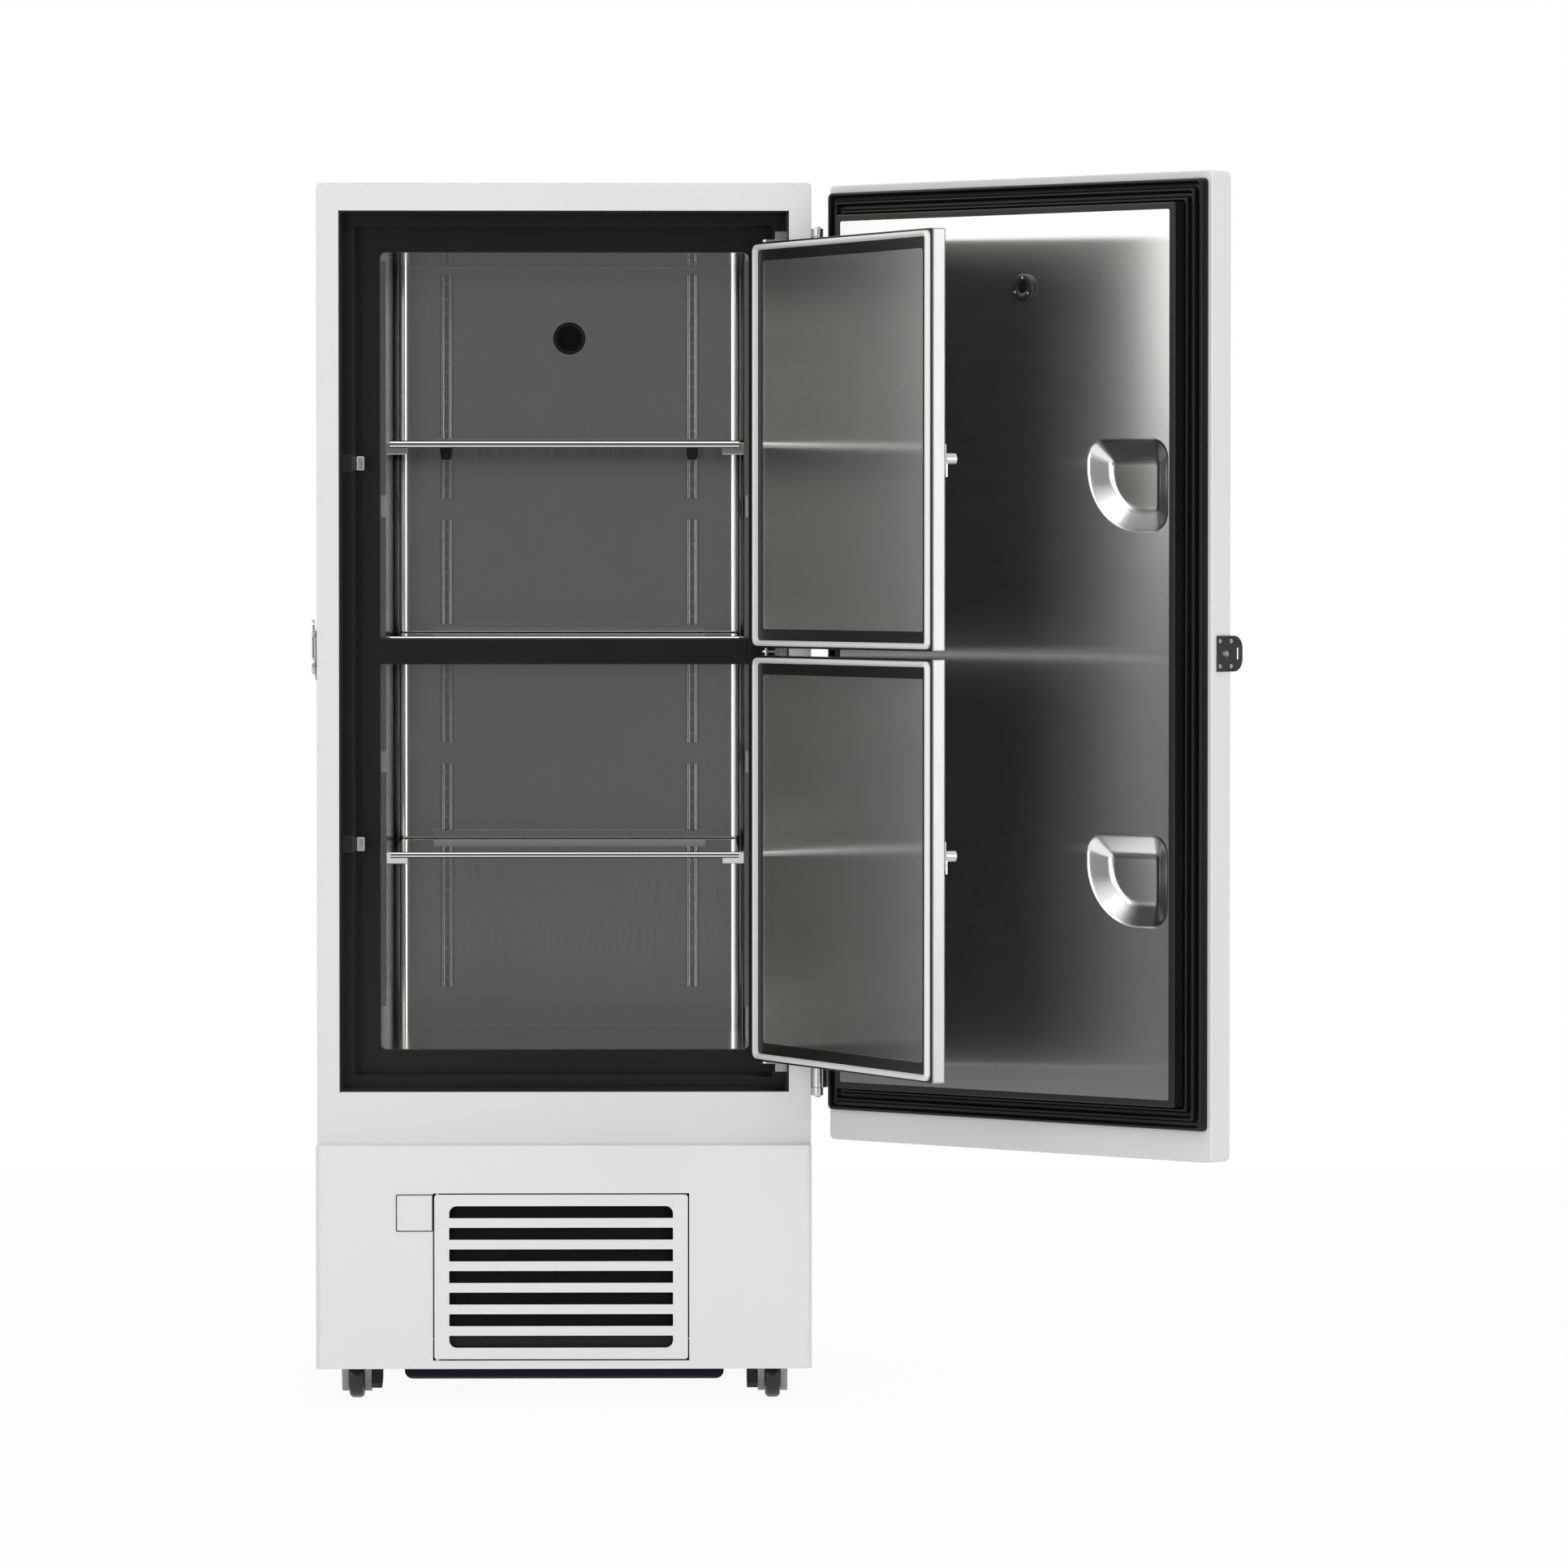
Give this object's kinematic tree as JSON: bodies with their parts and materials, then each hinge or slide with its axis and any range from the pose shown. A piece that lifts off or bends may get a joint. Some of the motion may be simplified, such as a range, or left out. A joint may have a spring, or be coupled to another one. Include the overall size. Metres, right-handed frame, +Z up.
{
  "type": "ultra low temperature freezer",
  "caption": "Upright ultra low temperature freezer on casters, with a thick outer door, insulated inner doors on levers, steel shelves and a machine base behind a slotted grille.",
  "frame": {"origin": "on the floor, under the centre of the cabinet body's footprint", "axes": "+Z up, +X to the right as seen from the front, +Y to the back; both doors are stored open as in the picture"},
  "size_m": [1.4721, 1.4269, 1.973],
  "materials": {
    "white_paint": "semi-gloss white powder coat",
    "base_paint": "semi-gloss pale grey-white powder coat",
    "grille_plastic": "moulded pale plastic, satin",
    "black_breaker": "black moulded plastic, satin gloss",
    "black_rubber": "black ribbed rubber",
    "white_seal": "white silicone bulb seal",
    "stainless": "bright rolled stainless sheet",
    "black_clip": "black moulded plastic",
    "bright_steel": "zinc plated pressed steel",
    "dark_steel": "blackened pressed steel",
    "port_plastic": "black moulded plastic",
    "foam": "rigid polyurethane foam with vacuum panels",
    "copper": "drawn copper tube",
    "display_black": "black touch screen",
    "handle_grey": "grey moulded grip",
    "tray_navy": "dark navy moulded tray",
    "galvanised": "galvanised sheet",
    "fin_aluminium": "aluminium fin block",
    "filter_black": "open cell black foam mat",
    "fan_black": "black glass filled plastic",
    "compressor_black": "black stove enamel",
    "caster_grey": "grey moulded caster fork",
    "tyre_black": "black polyurethane tread"
  },
  "bodies": {
    "cabinet": {"access_port": "port_plastic", "base_chassis": "galvanised", "base_housing": "base_paint", "base_rear_panel": "base_paint", "breaker_frame": "black_breaker", "cabinet_back_panel": "white_paint", "cabinet_shell": "white_paint", "compressors": "compressor_black", "condenser": "fin_aluminium", "control_box": "galvanised", "drip_tray": "tray_navy", "dust_filter": "filter_black", "evaporator_coil": "copper", "fan_shroud": "fan_black", "hinge_cabinet_leaves": "bright_steel", "hook_pivot_plate": "bright_steel", "inner_door_keepers": "bright_steel", "inner_hinge_brackets": "bright_steel", "inner_liner": "stainless", "insulation_panels": "foam", "mullion": "black_breaker", "pilasters": "stainless", "power_inlet": "fan_black", "shelf_clips": "black_clip", "shelf_lower": "stainless", "shelf_middle": "stainless", "shelf_upper": "stainless"},
    "outer_door": {"door_shell": "white_paint", "door_insulation": "foam", "door_plug_frame": "black_breaker", "door_liner": "stainless", "door_gasket": "black_rubber", "hinge_door_leaves": "bright_steel", "strike_plate": "dark_steel", "pressure_port": "port_plastic", "door_display": "display_black", "door_handle": "handle_grey"},
    "upper_inner_door": {"upper_inner_door_pan": "stainless", "upper_inner_door_frame": "black_breaker", "upper_inner_door_panel": "stainless", "upper_inner_door_gasket": "white_seal"},
    "lower_inner_door": {"lower_inner_door_pan": "stainless", "lower_inner_door_frame": "black_breaker", "lower_inner_door_panel": "stainless", "lower_inner_door_gasket": "white_seal"},
    "upper_lever": {"upper_inner_door_lever": "bright_steel"},
    "lower_lever": {"lower_inner_door_lever": "bright_steel"},
    "door_hook": {"door_hook": "bright_steel"},
    "grille": {"grille_door": "grille_plastic"},
    "fan": {"fan_blades": "fan_black"},
    "front_left_swivel": {"front_left_caster_fork": "caster_grey"},
    "front_left_wheel": {"front_left_caster_wheel": "tyre_black"},
    "front_left_brake": {"front_left_caster_brake": "black_clip"},
    "front_right_swivel": {"front_right_caster_fork": "caster_grey"},
    "front_right_wheel": {"front_right_caster_wheel": "tyre_black"},
    "front_right_brake": {"front_right_caster_brake": "black_clip"},
    "rear_left_swivel": {"rear_left_caster_fork": "caster_grey"},
    "rear_left_wheel": {"rear_left_caster_wheel": "tyre_black"},
    "rear_right_swivel": {"rear_right_caster_fork": "caster_grey"},
    "rear_right_wheel": {"rear_right_caster_wheel": "tyre_black"}
  },
  "joints": [
    {"name": "outer_door_hinge", "type": "hinge", "parent": "cabinet", "child": "outer_door", "pos_m": [0.411, -0.435, 1.2], "axis": [0, 0, 1], "range_deg": [-136.7, 3.3]},
    {"name": "upper_inner_door_hinge", "type": "hinge", "parent": "cabinet", "child": "upper_inner_door", "pos_m": [0.328, -0.393, 1.5495], "axis": [0, 0, 1], "range_deg": [-114, 2.76]},
    {"name": "lower_inner_door_hinge", "type": "hinge", "parent": "cabinet", "child": "lower_inner_door", "pos_m": [0.328, -0.393, 0.8795], "axis": [0, 0, 1], "range_deg": [-114, 2.76]},
    {"name": "upper_lever_turn", "type": "hinge", "parent": "upper_inner_door", "child": "upper_lever", "pos_m": [0.59663, -0.97178, 1.52], "axis": [-0.9135, -0.4067, 0], "range_deg": [0, 90]},
    {"name": "lower_lever_turn", "type": "hinge", "parent": "lower_inner_door", "child": "lower_lever", "pos_m": [0.59663, -0.97178, 0.903], "axis": [-0.9135, -0.4067, 0], "range_deg": [0, 90]},
    {"name": "door_hook_turn", "type": "hinge", "parent": "cabinet", "child": "door_hook", "pos_m": [-0.406, -0.42, 1.1925], "axis": [1, 0, 0], "range_deg": [0, 65.3]},
    {"name": "grille_hinge", "type": "hinge", "parent": "cabinet", "child": "grille", "pos_m": [-0.204, -0.4975, 0.2075], "axis": [0, 0, -1], "range_deg": [0, 100]},
    {"name": "fan_spin", "type": "hinge", "parent": "cabinet", "child": "fan", "pos_m": [-0.0045, -0.3995, 0.22], "axis": [0, 1, 0], "continuous": true},
    {"name": "front_left_swivel_turn", "type": "hinge", "parent": "cabinet", "child": "front_left_swivel", "pos_m": [-0.338, -0.395, 0.096], "axis": [0, 0, 1], "continuous": true},
    {"name": "front_left_wheel_spin", "type": "hinge", "parent": "front_left_swivel", "child": "front_left_wheel", "pos_m": [-0.338, -0.371, 0.0375], "axis": [1, 0, 0], "continuous": true},
    {"name": "front_left_brake_press", "type": "hinge", "parent": "front_left_swivel", "child": "front_left_brake", "pos_m": [-0.305, -0.371, 0.0375], "axis": [1, 0, 0], "range_deg": [0, 14]},
    {"name": "front_right_swivel_turn", "type": "hinge", "parent": "cabinet", "child": "front_right_swivel", "pos_m": [0.338, -0.395, 0.096], "axis": [0, 0, 1], "continuous": true},
    {"name": "front_right_wheel_spin", "type": "hinge", "parent": "front_right_swivel", "child": "front_right_wheel", "pos_m": [0.338, -0.371, 0.0375], "axis": [1, 0, 0], "continuous": true},
    {"name": "front_right_brake_press", "type": "hinge", "parent": "front_right_swivel", "child": "front_right_brake", "pos_m": [0.305, -0.371, 0.0375], "axis": [1, 0, 0], "range_deg": [0, 14]},
    {"name": "rear_left_swivel_turn", "type": "hinge", "parent": "cabinet", "child": "rear_left_swivel", "pos_m": [-0.338, 0.365, 0.096], "axis": [0, 0, 1], "continuous": true},
    {"name": "rear_left_wheel_spin", "type": "hinge", "parent": "rear_left_swivel", "child": "rear_left_wheel", "pos_m": [-0.338, 0.389, 0.0375], "axis": [1, 0, 0], "continuous": true},
    {"name": "rear_right_swivel_turn", "type": "hinge", "parent": "cabinet", "child": "rear_right_swivel", "pos_m": [0.338, 0.365, 0.096], "axis": [0, 0, 1], "continuous": true},
    {"name": "rear_right_wheel_spin", "type": "hinge", "parent": "rear_right_swivel", "child": "rear_right_wheel", "pos_m": [0.338, 0.389, 0.0375], "axis": [1, 0, 0], "continuous": true}
  ],
  "couplings": [
    {"joint": "upper_inner_door_hinge", "follows": "outer_door_hinge", "ratio": 0.83394},
    {"joint": "lower_inner_door_hinge", "follows": "outer_door_hinge", "ratio": 0.83394}
  ]
}
